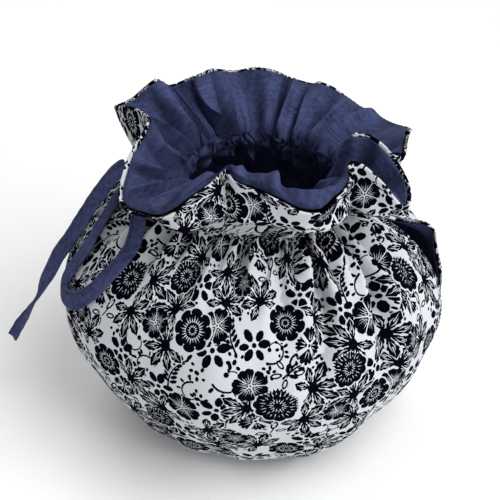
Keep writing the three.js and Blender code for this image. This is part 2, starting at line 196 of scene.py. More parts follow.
def curve_through(rows, closed, steps=STEPS):
    """Points on a smooth curve through the given ones, steps of them for each span."""
    rows = np.asarray(rows, float)
    count = len(rows)
    t = (np.arange(steps) / steps)[:, None]
    out = []
    for i in range(count if closed else count - 1):
        here, there = rows[i], rows[(i + 1) % count]
        if closed:
            before, after = rows[i - 1], rows[(i + 2) % count]
        else:
            before = rows[i - 1] if i else 2 * here - there
            after = rows[i + 2] if i + 2 < count else 2 * there - here
        d0, d1, d2 = (
            max(1e-3, math.sqrt(np.linalg.norm(q - p)))
            for p, q in ((before, here), (here, there), (there, after))
        )
        leave = ((here - before) / d0 - (there - before) / (d0 + d1) + (there - here) / d1) * d1
        arrive = ((there - here) / d1 - (after - here) / (d1 + d2) + (after - there) / d2) * d1
        out.append(
            (2 * t**3 - 3 * t**2 + 1) * here + (t**3 - 2 * t**2 + t) * leave
            + (3 * t**2 - 2 * t**3) * there + (t**3 - t**2) * arrive
        )
    out.append(rows[:1] if closed else rows[-1:])
    return np.concatenate(out)


def running_length(points):
    steps = np.linalg.norm(np.diff(points, axis=0), axis=1)
    return np.concatenate([[0], np.cumsum(steps)])


profile_curve = curve_through(PROFILE, False)
profile_length = running_length(profile_curve)
BODY_CLOTH = profile_length[-1]


def rim_corner(row):
    angle, flare = math.radians(row[1]), math.radians(row[2])
    radius = NECK_RADIUS + row[3] * math.sin(flare)
    return [radius * math.cos(angle), radius * math.sin(angle), NECK_Z + row[3] * math.cos(flare)]


rim_curve = curve_through([rim_corner(row) for row in RIM], True)
rim_turns = np.interp(
    np.arange(len(rim_curve)) / STEPS,
    np.arange(len(RIM) + 1),
    [row[0] for row in RIM] + [RIM[0][0] + 360],
)
rim_length = running_length(rim_curve)


def rim_at(turn):
    wrapped = RIM[0][0] + np.mod(turn - RIM[0][0], 360)
    return np.stack([np.interp(wrapped, rim_turns, rim_curve[:, k]) for k in range(3)], -1)


# ---- shape of the cloth ----
def polar(radius, angle, z):
    return np.stack([radius * np.cos(angle), radius * np.sin(angle), z], -1)


def ripple(turn):
    a = np.radians(turn)
    return np.sin(RIPPLES * a + 1.3 * np.sin(3 * a + 0.6) + 0.8 * np.sin(5 * a))


def valleys(rows, turn, below, wander, widening):
    """For each row: its depth, and how far along and across the valley each point lies."""
    for top, low, depth, half_width, reach in rows:
        k = np.clip(below / reach, 0, 1)
        line = mix(top, low, k) + wander * np.sin(below / 17 + top)
        yield depth, k, turn_between(turn, line) / (half_width * (1 + widening * k))


def crease_depth(turn, below):
    """Broad creases that the solids have too."""
    pull = 0
    for depth, k, x in valleys(CREASES, turn, below, 0, 0.5):
        shape = hump(x) - 0.35 * hump(x / 2.2)
        pull = pull + depth * shape * smooth(1 - k) * smooth(below / 14 + 0.2)
    return pull


def slit_shift(slit, turn, side, z, radius):
    at, front, behind, low, high = slit
    x = np.abs(turn_between(turn, at))
    opening = np.sin(np.pi * np.clip((z - low) / (high - low), 0, 1)) ** 1.5
    gape = front if side < 0 else behind
    return side * np.degrees(gape * opening / radius) * np.exp(-((x / SLIT_REACH) ** 1.5))


def in_front(turn):
    return smooth((turn_between(turn, 198) + 12) / 24) * smooth((turn_between(338, turn) + 8) / 16)


def rolled_rim(turn):
    """Where the lining rolls over the rim, in front."""
    stretch = (smooth((turn_between(turn, 243) + 4) / 10)
               * smooth((turn_between(308, turn) + 4) / 10))
    return stretch * (1 - 0.55 * hump(turn_between(turn, 265) / 5))


def middle(turn, v, lining, back):
    """Middle of the cloth. v is 0 to 1 up the body, 1 to 2 on the channel, 2 to 3 up the frill."""
    a = np.radians(turn)
    wave = ripple(turn)
    along = np.clip(v, 0, 1) * BODY_CLOTH
    girth = np.interp(along, profile_length, profile_curve[:, 0])
    z = np.interp(along, profile_length, profile_curve[:, 1])
    below = BODY_CLOTH - along
    radius = girth - crease_depth(turn, below)
    radius = radius + 1.6 * wave * hump(below / 20) * smooth(below / 6 + 0.15)
    radius = radius - SLACK * np.maximum(0, np.cos(np.radians(turn - 236))) * smooth((84 - z) / 50)
    z_lift = 0
    if back:
        proud = hump(turn_between(turn, 0) / 6) * hump((z - 111.5) / 9)
        radius = radius + FLAP_OUT * proud
        z_lift = FLAP_UP * proud
    side = 1 if back else -1
    shift = (slit_shift(SPOUT_SLIT, turn, side, z, girth)
             + slit_shift(HANDLE_SLIT, turn, -side, z, girth))
    b = a + np.radians(shift)
    body = polar(radius, b, z + z_lift)

    pinched = hump(turn_between(turn, TIGHT_FOLD) / 12)

    def settle(inner, outer, shared):
        return mix(inner if lining else outer, shared, pinched)

    start_radius = settle(NECK_RADIUS, FRILL_START_RADIUS, NECK_RADIUS + 2)
    start_z = settle(NECK_Z + CHANNEL_HEIGHT, FRILL_START_Z, NECK_Z + 9)
    c = np.clip(v - 1, 0, 1)
    w = np.maximum(v - 2, 0)
    start_radius = start_radius + (0.24 + 0.3 * c) * wave
    close = (1 - c) ** (4 if lining else 1)
    radius = mix(start_radius, PROFILE[-1][0], close)
    channel = polar(radius, a, mix(NECK_Z, start_z, c))

    start = polar(start_radius, a, start_z)
    rim = rim_at(turn)
    front = in_front(turn) * (1 - pinched)
    out = settle(0.55, mix(0.72, 0.6, front), 0.62)[..., None]
    bend = mix(start, rim, out)
    bend[..., 2] = start_z + settle(7, mix(1.5, 12, front), 5)
    if lining:
        roll = rolled_rim(turn) * smooth((w - 0.5) / 0.36) * (1 - smooth((w - 0.86) / 0.15))
    else:
        roll = np.zeros_like(w)
    w = w[..., None]
    frill = start * (1 - w) ** 2 + bend * 2 * w * (1 - w) + rim * w**2
    frill = frill + roll[..., None] * polar(-2, a, np.full_like(a, 9.0))
    v = v[..., None]
    return np.where(v <= 1, body, np.where(v <= 2, channel, frill))


def puff(count, turn, phase):
    """Rounded puffs with sharp creases between them, 0 in a crease and 1 on a puff."""
    a = np.radians(turn)
    lean = 0.5 * np.sin(5 * a + phase) + 0.35 * np.sin(8 * a + 2 * phase)
    return np.abs(np.sin(0.5 * count * a + phase + lean))


def draped(count, turn, phase):
    """Broad waves, each with one steep side, from -1 to 1."""
    a = np.radians(turn)
    x = count * a + phase + 1.3 * np.sin(5 * a + phase) + 0.9 * np.sin(8 * a + 2 * phase)
    return np.sin(x + 0.75 * np.sin(x))


def fold_depth(turn, below):
    """Sharp valleys with a soft ridge along each side."""
    down = np.zeros_like(turn)
    for depth, k, x in valleys(FOLDS, turn, below, 1.2, 0.4):
        shape = np.exp(-np.abs(x) ** 1.25 * 1.1) - 0.42 * hump(np.abs(x) - 1.9)
        down = down + FOLD_GAIN * depth * shape * smooth((1 - k) * 1.3)
    return down


def relief(turn, v, lining):
    """How far the folds and puckers lift the cloth outwards."""
    a = np.radians(turn)
    body, c, w = np.clip(v, 0, 1), np.clip(v - 1, 0, 1), np.clip(v - 2, 0, 1)
    below = (1 - body) * BODY_CLOTH
    on_body = v <= 1
    up = np.zeros_like(turn)
    for count, climb, phase, height in SOFT_WAVES:
        up = up + 1.3 * height * np.sin(count * a + climb * body * 2 + phase)
    up = up * smooth(body / 0.12) * (1 - smooth(v - 1))

    tight = 0.45 + 0.55 * in_front(turn) * smooth((turn_between(turn, 262) + 10) / 20)
    long_folds = GATHERS * tight * (puff(42, turn, 1.1) - 0.6)
    long_folds = long_folds * np.exp(-((below / 34) ** 1.6)) * smooth(below / 6)
    up = up + (long_folds - fold_depth(turn, below)) * on_body
    gathers = 1.5 * (puff(52, turn, 0.7) - 0.6) + 0.8 * (puff(90, turn, 2.1) - 0.6)
    if not lining:
        near = np.exp(-below / 13) * on_body + np.exp(-np.maximum(v - 1, 0) * 1.2) * (v > 1)
        pleats = (1.5 * (0.6 - puff(46, turn, 0.3)) * (1 - w) ** 1.1
                  + 0.5 * (0.6 - puff(74, turn, 1.9)) * (1 - w) ** 2)
        fat = 0.75 + 0.45 * np.sin(7 * a + 1) + 0.25 * np.sin(12 * a)
        roll = FRILL_BULGE * fat * hump((w - 0.6) / 0.13) - FRILL_PINCH * hump((w - 0.32) / 0.15)
        frill = (pleats + in_front(turn) * roll * smooth(w / 0.1)) * (v > 2)
        return up + gathers * near * (v <= 2) + frill

    # the lining puffs inwards above, on and below its channel
    up = up - 0.8 * on_body * smooth(below / 5) * hump(below / 60)
    on_channel = ((v > 1) & (v <= 2)) * np.sin(np.pi * c) ** 0.7
    slant = turn + 2.2 * np.sin(7 * a + 5 * c) + 1.4 * np.sin(23 * a - 9 * c)
    uneven = 0.8 + 0.3 * np.sin(9 * a + 1) + 0.25 * np.sin(16 * a + 3)
    lumps = 0.9 * np.sin(11 * a + 7 * c) * np.sin(17 * a - 5 * c + 1)
    puffs = 0.3 + lumps + 2.1 * uneven * puff(76, slant, 0.9) + 0.8 * puff(138, slant, 0.2)
    pouch = hump((below - 9) / 7) * on_body * (0.6 + 4.2 * uneven * puff(19, turn, 0.5))
    pleats = smooth((v - 1.45) / 0.75) * (
        PLEATS * uneven * (draped(25, turn, 0.3) - 0.5) * (1 - w) ** 0.45
        + 1.6 * (0.6 - puff(64, turn, 1.9)) * (1 - w) ** 1.8
    )
    return up - on_channel * puffs - pouch + pleats + 0.5 * gathers * np.exp(-below / 10) * on_body


def surface(turn, v, lining, back):
    """Cloth with its folds, its way round the cosy and which way it faces."""
    step_t, step_v = 0.25, 0.006
    across = middle(turn + step_t, v, lining, back) - middle(turn - step_t, v, lining, back)
    upward = (middle(turn, np.minimum(v + step_v, 3.02), lining, back)
              - middle(turn, np.maximum(v - step_v, 0), lining, back))
    facing = np.cross(across, upward)
    facing /= np.linalg.norm(facing, axis=-1)[..., None]
    across /= np.linalg.norm(across, axis=-1)[..., None]
    offset = -LINING_DROP if lining else OUTER_LIFT
    lifted = middle(turn, v, lining, back) + facing * (relief(turn, v, lining) + offset)[..., None]
    return lifted, across, facing


# ---- the printed flowers, drawn flat in millimetres ----
# A figure is a list of (outline, inked). Later outlines lie on top of earlier ones.
def ring(radii, start=0.0):
    """Closed outline round the origin through evenly spread radii."""
    radii = np.asarray(radii, float)
    angle = start + np.arange(len(radii)) * 2 * math.pi / len(radii)
    return np.stack([radii * np.cos(angle), radii * np.sin(angle)], -1)


def moved(outline, x=0.0, y=0.0, turn=0.0):
    c, s = math.cos(math.radians(turn)), math.sin(math.radians(turn))
    return outline @ np.array([[c, s], [-s, c]]) + (x, y)


def spoke(outline, reach, turn):
    """Outline moved out from the origin, then turned round it."""
    return moved(moved(outline, reach), turn=turn)


def oval(length, width, point=1.4, count=8):
    angle = np.arange(count) * 2 * math.pi / count
    side = np.sin(angle)
    side = width / 2 * side * np.abs(side) ** (point - 1)
    return np.stack([length / 2 * np.cos(angle), side], -1)


def ray(inner, outer, width, angle):
    """Tapered stroke pointing away from the origin."""
    stroke = np.array([[inner, -0.6 * width], [outer, 0], [inner, 0.6 * width]])
    return moved(stroke, turn=angle)


def rays(r, count, lows, highs, width, start=0.0):
    """Pale strokes all round a head, from the lows to the highs taken in turn."""
    figure = []
    for k in range(count):
        low, high = lows[k % len(lows)] * r, highs[k % len(highs)] * r
        figure.append((ray(low, high, width * r, start + k * 360 / count), False))
    return figure


def ribbon(line, width):
    """Stroke of the given width along a line of points, narrowing to its end."""
    line = np.asarray(line, float)
    along = np.gradient(line, axis=0)
    along /= np.linalg.norm(along, axis=1)[:, None]
    side = np.stack([-along[:, 1], along[:, 0]], -1)
    half = np.linspace(width / 2, width / 5, len(line))[:, None]
    return np.concatenate([line - side * half, (line + side * half)[::-1]])


def fringed_head(r):
    """Round head with scalloped petals on one side and a fringe on the other."""
    angle = np.arange(66) * 2 * math.pi / 66
    scallops = 1.0 + 0.16 * np.abs(np.cos(5.5 * (angle + 0.3))) ** 0.7
    fringe = np.where(np.arange(66) % 2 == 0, 0.84, 1.0) * (1 + 0.05 * np.sin(angle * 5.3))
    petals = np.clip(2.2 * np.sin(angle + 3.6) + 0.7, 0, 1)
    edge = r * mix(fringe, scallops, petals)
    figure = [(ring(edge[::2] + 0.1 * r), False), (ring(edge), True)]
    figure += rays(r, 24, (0.68, 0.58), (0.8, 0.9, 0.9), 0.042, 7.5)
    return figure + rays(r, 18, (0.3, 0.2), (0.52, 0.44, 0.44), 0.05)


def double_head(r):
    angle = np.arange(48) * 2 * math.pi / 48
    lobes = 0.86 + 0.14 * np.abs(np.cos(4 * angle)) ** 0.6
    figure = [(ring(r * (lobes[::2] + 0.09)), False), (ring(r * lobes), True)]
    figure += rays(r, 8, [0.74], [0.93], 0.05, 22.5)
    figure += rays(r, 24, [0.36], (0.68, 0.56, 0.62), 0.055, 2)
    return figure + rays(r, 12, [0.14], [0.26], 0.05, 7)


def petal_outline(root, reach, half):
    """Petal along the x axis: its root, then its reach at each turn from -half to half."""
    turns = [math.radians(half * u) for u in np.linspace(-1, 1, len(reach))]
    edge = [(s * math.cos(t), s * math.sin(t)) for s, t in zip(reach, turns)]
    return np.array([(root, 0.0)] + edge)


def open_flower(r):
    figure = []
    u = np.linspace(-1, 1, 11)
    dents = 0.09 * hump(u / 0.16), 0.05 * hump((np.abs(u) - 0.55) / 0.1), 0.2 * u ** 6
    reach = r * (0.98 - dents[0] - dents[1] - dents[2])
    petal = petal_outline(0.08 * r, reach, 34.5)
    veins = ((-21, 0.32, 0.62), (-7, 0.22, 0.72), (8, 0.2, 0.54), (22, 0.36, 0.66))
    for k in range(5):
        figure.append((moved(petal[[0, 1, 3, 6, 9, 11]] * 1.1 - (0.03 * r, 0), turn=72 * k), False))
    for k in range(5):
        figure.append((moved(petal, turn=72 * k), True))
        for lean, low, high in veins:
            figure.append((ray(low * r, high * r, 0.034 * r, 72 * k + lean), False))
    return figure + [(ring([0.13 * r] * 8), False), (ring([0.06 * r] * 6), True)]


def toothed_bow(r):
    """Four toothed petals with a knot between them."""
    figure = []
    u = np.linspace(-1, 1, 17)
    reach = r * (0.95 - 0.13 * (np.arange(17) % 4 == 2) - 0.06 * u ** 2)
    for angle, half, size in ((0, 38, 1.0), (84, 34, 0.8), (178, 40, 1.0), (268, 36, 0.86)):
        petal = petal_outline(0.1 * r, size * reach, half)
        figure.append((moved(petal[[0, 1, 5, 9, 13, 17]] * 1.1 - (0.03 * r, 0), turn=angle), False))
        figure.append((moved(petal, turn=angle), True))
        for lean in (-14, 10):
            figure.append((ray(0.3 * r, 0.7 * size * r, 0.05 * r, angle + lean), False))
    return figure + [(ring([0.17 * r] * 8), False), (ring([0.1 * r] * 7), True)]


LOBES = [(-132, 0.82), (-90, 0.9), (-47, 1.0), (-6, 0.93), (37, 1.02), (80, 0.9), (124, 0.8)]
LOBE_EDGE = [
    (0.22, 0.32), (0.38, 0.68), (0.44, 0.58), (0.6, 1.1), (0.66, 0.84), (0.78, 0.94), (1.0, 0.05),
]


def cut_leaf(r):
    """Seven notched leaflets from one point, each with pale veins."""
    edge = np.array(LOBE_EDGE)
    outline, border = [], []
    for angle, length in LOBES:
        half = 0.19 * r * (0.3 + 0.7 * length) * edge[:, 1]
        along = edge[:, 0] * length * r
        lobe = np.concatenate([np.stack([along, -half], -1), np.stack([along, half], -1)[::-1]])
        outline.append(moved(lobe, turn=angle))
        tip = length * r
        around = np.array([[0.7 * tip, -0.24 * r], [1.07 * tip, 0], [0.7 * tip, 0.24 * r]])
        border.append(moved(around, turn=angle))
    figure = [(np.concatenate(border), False), (np.concatenate(outline), True)]
    for angle, length in LOBES:
        size = length * r
        for side, low, high in ((-1, 0.3, 0.76), (1, 0.34, 0.7)):
            vein = np.array([[low * size, 0.02 * r], [0.5 * size, 0.055 * r],
                             [high * size, 0.045 * r], [0.5 * size, 0.092 * r]])
            figure.append((moved(vein * (1, side), turn=angle), False))
        figure.append((ray(0.54 * size, 0.92 * size, 0.034 * r, angle), False))
    return figure


def petal_star(r):
    figure = []
    petals = ((5, 1.0), (-7, 0.88), (3, 1.0), (8, 0.8), (-4, 0.96), (0, 0.86))
    for k, (lean, size) in enumerate(petals):
        turn = 360 * k / len(petals) + lean
        leaf = oval(0.78 * r * size, 0.5 * r * size, 1.2, 8)
        figure.append((spoke(leaf, 0.6 * r, turn), True))
    return figure + [(ring([0.15 * r] * 7), True)]


def outlined_spray(r):
    figure = []
    leaves = ((-38, 0.62, 0.8), (22, 0.72, 1.0), (88, 0.6, 0.7), (150, 0.6, 0.8), (215, 0.55, 0.7))
    for turn, reach, size in leaves:
        leaf = oval(0.85 * r * size, 0.42 * r * size, 1.3, 10)
        heart = oval(0.52 * r * size, 0.2 * r * size, 1.3, 6)
        figure.append((spoke(leaf, reach * r, turn), True))
        figure.append((spoke(heart, reach * r, turn), False))
    return figure + [(moved(oval(0.9 * r, 0.1 * r, 1.0, 6), 0.2 * r, 0, 20), True)]


def berries(r):
    spots = [
        (0, 0, 0.5, 20), (0.5, 0.32, 0.42, 60), (-0.42, 0.4, 0.44, 130), (0.2, 0.85, 0.38, 80),
        (0.85, -0.2, 0.36, 10), (-0.15, -0.62, 0.42, 95), (-0.85, -0.1, 0.34, 40),
    ]
    return [
        (moved(oval(s * r * 1.2, s * r * 0.9, 1.05, 6), x * r, y * r, turn), True)
        for x, y, s, turn in spots
    ]


def sprig(r):
    t = np.linspace(0, 1, 9)
    line = np.stack([(t - 0.5) * 2 * r, 0.28 * r * np.sin(math.pi * t)], -1)
    figure = [(ribbon(line, 0.06 * r + 0.45), True)]
    for k in range(1, 8):
        x, y = line[k]
        for side in (-1, 1):
            size = 0.46 * r * (1.1 - 0.07 * k)
            leaf = moved(oval(size, 0.48 * size, 1.2, 6), size * 0.66)
            figure.append((moved(leaf, x, y, side * 46 + 12), True))
    return figure + [(moved(oval(0.4 * r, 0.2 * r), 1.12 * r, 0, -10), True)]


def tendril(r):
    t = np.linspace(0, 1, 15)
    angle = 5.2 * t ** 1.2
    radius = r * (1 - 0.7 * t)
    line = np.stack([radius * np.cos(angle) - 0.2 * r, radius * np.sin(angle)], -1)
    figure = [(ribbon(line, 0.8 + 0.05 * r), True), (ring([0.16 * r] * 7) + line[-1], True)]
    for k in (1, 3, 5, 7, 9, 12):
        x, y = line[k]
        leaf = moved(oval(0.42 * r, 0.25 * r, 1.2, 6), 0.28 * r)
        figure.append((moved(leaf, x, y, math.degrees(angle[k]) + 20), True))
    return figure


# One repeat of the print: a figure and the [x, y, size, turn] of each of it. The repeat drops by
# half in the next column.
REPEAT = (96.0, 85.0)
CHART = [
    [tendril, [[44, 42, 8.5, 200], [3, 37, 7, 20], [90, 6, 8, 120], [50, 81, 7, 300],
        [28, 33, 6.5, 80], [65, 55, 7, 240]]],
    [sprig, [[20, 39, 10, 62], [46, 63, 10, 100], [79, 46, 10, 20], [44, 11, 9.5, 75],
        [4, 76, 9, 300], [90, 20, 9, 250]]],
    [berries, [[18, 74, 5, 0], [47, 50, 5, 50], [90, 44, 5, 90], [30, 43, 5, 140],
        [78, 4, 5, 200], [31, 30, 5, 20], [2, 20, 5, 70], [63, 46, 4.5, 110], [48, 72, 5, 10],
        [70, 57, 4.5, 60], [92, 78, 4.5, 130], [26, 6, 4.5, 80]]],
    [petal_star, [[36, 54, 9, 12]]],
    [outlined_spray, [[72, 45, 9, 40]]],
    [petal_star, [[10, 28, 9, 70], [40, 25, 9, 25], [56, 58, 8.5, 5]]],
    [outlined_spray, [[65, 7, 8.5, 50]]],
    [petal_star, [[83, 81, 8.5, 33], [22, 81, 8.5, 15]]],
    [cut_leaf, [[11, 68, 14.5, 152], [12, 51, 14, 205], [38, 76, 13.5, 62], [85, 34, 14.5, 24],
        [81, 16, 14, -38], [54, 26, 13.5, 196], [11, 11, 14.5, 214], [35, 7, 13.5, -34],
        [59, 78, 13.5, 118], [89, 67, 14, 12]]],
    [open_flower, [[36, 65, 8.5, 10], [55, 39, 9, 40]]],
    [toothed_bow, [[58, 16, 9, 20]]],
    [open_flower, [[23, 20, 9.5, 55]]],
    [toothed_bow, [[83, 56, 9, 75]]],
    [open_flower, [[2, 59, 8, 0], [48, 0, 7, 15]]],
    [double_head, [[24, 61, 10, 0], [73, 69, 9.5, 20]]],
    [fringed_head, [[68, 28, 10, 0], [7, 0, 8.5, 60]]],
]


# ---- flat cloth laid onto the shape ----
class Panel:
    """One panel between two side seams. x runs across the flat cloth, y up from the hem."""

    def __init__(self, name, lining, back):
        self.name, self.lining, self.back = name, lining, back
        self.centre = 90.0 if back else 270.0
        self.channel = CHANNEL_HEIGHT if lining else 3.0
        self.length = BODY_CLOTH + self.channel + FRILL_CLOTH
        turns = np.linspace(self.centre - 90, self.centre + 90, 721)
        along = running_length(rim_at(turns))
        self.rim_half = along[-1] / 2
        self.rim_turns, self.rim_along = turns, along - self.rim_half
        widest = profile_curve[:, 0].argmax()
        self.girth = np.where(
            np.arange(len(profile_curve)) < widest, profile_curve[:, 0], profile_curve[widest, 0]
        )
        # how far the side edges are drawn back, so that their folds meet at the seams
        self.edge_back = 1.9 if lining else OUTER_FOLD + 0.12
        self.fold = LINING_FOLD if lining else OUTER_FOLD
        self.extra = LINING_TURNED_IN if lining else TURNED_IN

    def spread(self, y):
        """0 up to the frill, rising to 1 where the panel is as wide as the rim."""
        return smooth((y - BODY_CLOTH - self.channel) / 14)

    def half_width(self, y):
        body = np.interp(y, profile_length, self.girth) * math.pi / 2
        return mix(body, self.rim_half, self.spread(y))

    def place(self, x, y):
        """Turn and v of a point of the flat cloth, clamped to the panel."""
        half = self.half_width(y)
        u = np.clip(x / half, -1, 1)
        at_rim = np.interp(u * self.rim_half, self.rim_along, self.rim_turns)
        turn = mix(self.centre + 90 * u, at_rim, self.spread(y))
        levels = (0, BODY_CLOTH, BODY_CLOTH + self.channel, self.length)
        return turn, np.interp(y, levels, range(4)), half

    def at(self, x, y):
        """Points of the finished cloth, with every edge turned in."""
        x, y = np.asarray(x, float), np.asarray(y, float)
        turn, v, half = self.place(x, y)
        points, across, facing = surface(turn, v, self.lining, self.back)
        upward = np.cross(facing, across)
        way_in = 1 if self.lining else -1

        def turned(distance):
            angle = np.clip(distance / self.fold, 0, math.pi)
            reach = self.fold * np.sin(angle) - np.maximum(0, distance - math.pi * self.fold)
            return reach, self.fold * (1 - np.cos(angle))

        side = np.sign(x)
        beyond = np.maximum(0, np.abs(x) - half)
        reach, sink = turned(beyond)
        ease = np.clip(1 - (half - np.abs(x)) / 14, 0, 1) ** 2
        sewn = smooth((y - BODY_CLOTH + 10) / 8)
        drawn_back = mix(self.edge_back, self.fold + 0.12, sewn)
        points = points + across * (side * (reach - drawn_back * ease))[:, None]
        for way, room, back_off in (
            (1, self.length - y, self.edge_back), (-1, y, self.edge_back + 0.3),
        ):
            reach_up, sink_up = turned(np.maximum(0, -room))
            ease = np.clip(1 - room / 12, 0, 1) ** 2
            points = points + upward * (way * (reach_up - back_off * ease))[:, None]
            sink = np.maximum(sink, sink_up)
        points = points + facing * (way_in * sink)[:, None]
        z = points[:, 2]
        points[:, 2] = np.where(z < 1, np.exp(np.minimum(z, 1) - 1), z)
        return points

    def normals(self, x, y):
        h = 0.2
        across = self.at(x + h, y) - self.at(x - h, y)
        upward = self.at(x, y + h) - self.at(x, y - h)
        facing = np.cross(across, upward)
        return facing / np.maximum(np.linalg.norm(facing, axis=1), 1e-9)[:, None]

    def flat_area(self):
        y = np.linspace(0, self.length, 400)
        return float(np.mean(2 * self.half_width(y)) * self.length)


def add_object(name, data):
    made = bpy.data.objects.new(name, data)
    bpy.context.scene.collection.objects.link(made)
    return made


def new_mesh(name, points, faces, normals=None):
    mesh = bpy.data.meshes.new(name)
    mesh.from_pydata((np.asarray(points) * MM).tolist(), [], faces)
    mesh.shade_smooth()
    if normals is not None:
        mesh.normals_split_custom_set_from_vertices(normals.tolist())
    return add_object(name, mesh)


def add_cloth_map(mesh, flat):
    """UV map in units of 100 mm of flat cloth, for the weave."""
    corner = np.empty(len(mesh.loops), int)
    mesh.loops.foreach_get("vertex_index", corner)
    layer = mesh.uv_layers.new(name="Cloth")
    layer.data.foreach_set("uv", (np.asarray(flat)[corner] / 100).ravel().astype(np.float32))


def panel_mesh(panel, flat, faces):
    """Mesh of a panel through points of its flat cloth."""
    x, y = flat[:, 0], flat[:, 1]
    piece = new_mesh(panel.name, panel.at(x, y), faces, panel.normals(x, y))
    add_cloth_map(piece.data, flat)
    return piece


def printed_piece(panel, shift):
    """Printed panel, cut so that every printed outline is an edge of its mesh."""
    points, polygons = [], []

    def dot(pairs):
        points.extend(Vector((float(x), float(y))) for x, y in pairs)

    def add(outline):
        start = len(points)
        dot(outline)
        polygons.append(list(range(start, len(points))))

    low, high = -panel.extra, panel.length + panel.extra
    levels = np.linspace(low, high, 200)
    reach = panel.half_width(levels) + panel.extra
    right = np.stack([reach, levels], -1)
    foot = np.stack([np.linspace(-reach[0], reach[0], 90)[1:-1], np.full(88, low)], -1)
    head = np.stack([np.linspace(reach[-1], -reach[-1], 180)[1:-1], np.full(178, high)], -1)
    add(np.concatenate([foot, right, head, (right * (-1, 1))[::-1]]))
    inked = [False]
    spots = [(drawn, *spot) for drawn, places in CHART for spot in places]
    for drawn, x0, y0, size, turn in spots:
        figure = drawn(size)
        for column in range(-3, 4):
            for row in range(-2, 5):
                x = x0 + shift[0] + column * REPEAT[0]
                y = y0 + shift[1] + (row + 0.5 * (column % 2)) * REPEAT[1]
                limit = panel.half_width(y) + size * 1.6 + panel.extra
                if abs(x) > limit or not low - size * 1.6 < y < high + size * 1.6:
                    continue
                for outline, ink in figure:
                    outline = moved(outline, x, y, turn)
                    area = np.sum(outline[:, 0] * np.roll(outline[:, 1], -1)
                                  - np.roll(outline[:, 0], -1) * outline[:, 1])
                    add(outline if area > 0 else outline[::-1])
                    inked.append(ink)
    # a net of points between the outlines carries the folds
    for k, y in enumerate(np.arange(low + 0.8, high - 0.5, NET_SPACING * 0.87)):
        wide = panel.half_width(y) + panel.extra - 0.6
        count = int(2 * wide / NET_SPACING)
        row = np.linspace(-wide, wide, count) + (0.25 if k % 2 else -0.25) * NET_SPACING
        dot((x, y) for x in row if abs(x) < wide)
    # closer lines of points where the edges turn over
    for turned in (0.0, 0.5, 1.0, 1.5, 2.0):
        for y in np.arange(0, panel.length, EDGE_SPACING):
            wide = panel.half_width(y) + turned
            dot([(wide, y), (-wide, y)])
        for edge in (-turned, panel.length + turned):
            wide = panel.half_width(edge)
            dot((x, edge) for x in np.arange(-wide, wide, 2.0))
    flat, _, faces, _, _, owners = delaunay_2d_cdt(points, [], polygons, 0, 1e-4, True)
    kept = [(face, inked[max(owner)]) for face, owner in zip(faces, owners) if 0 in owner]
    flat = np.array([tuple(p) for p in flat])
    used = np.unique(np.concatenate([face for face, _ in kept]))
    index = np.full(len(flat), -1)
    index[used] = np.arange(len(used))
    flat = flat[used]
    faces = [tuple(int(index[i]) for i in face) for face, _ in kept]
    piece = panel_mesh(panel, flat, faces)
    piece.data.polygons.foreach_set("material_index", [int(ink) for _, ink in kept])
    return piece


def plain_piece(panel):
    """Lining panel on a regular net, closer at its channel and its edges."""
    e = panel.extra
    turned = np.array([0.5, 0.95, 1.4, e])
    inside = np.concatenate([
        np.linspace(0, BODY_CLOTH - 30, 52)[:-1],
        np.linspace(BODY_CLOTH - 30, BODY_CLOTH, 26)[:-1],
        np.linspace(BODY_CLOTH, BODY_CLOTH + CHANNEL_HEIGHT, 20)[:-1],
        np.linspace(BODY_CLOTH + CHANNEL_HEIGHT, panel.length, 38),
    ])
    rows = np.concatenate([-turned[::-1], inside, panel.length + turned])
    count = 460
    u = np.linspace(-1, 1, count)
    flat = []
    for y in rows:
        half = panel.half_width(y)
        flat.append(np.stack([
            np.concatenate([-half - turned[::-1], u * half, half + turned]),
            np.full(count + 2 * len(turned), y),
        ], -1))
    flat = np.array(flat)
    wide = flat.shape[1]
    a = (np.arange(len(rows) - 1)[:, None] * wide + np.arange(wide - 1)).ravel()
    faces = np.stack([a, a + 1, a + 1 + wide, a + wide], -1).tolist()
    flat = flat.reshape(-1, 2)
    piece = panel_mesh(panel, flat, faces)
    # how deep each point lies in the pleats, for painted shade that darkens its colour there
    turn, v, _ = panel.place(flat[:, 0], flat[:, 1])
    # painted shade: an attribute from 0 to 1 that darkens the lining deep in its pleats
    depth = piece.data.attributes.new("Depth", "FLOAT", "POINT")
    shade_in_pleats = np.clip((relief(turn, v, True) + 2.6) / 5.5, 0, 1) * (v > 1.3)
    depth.data.foreach_set("value", shade_in_pleats.astype(np.float32))
    return piece


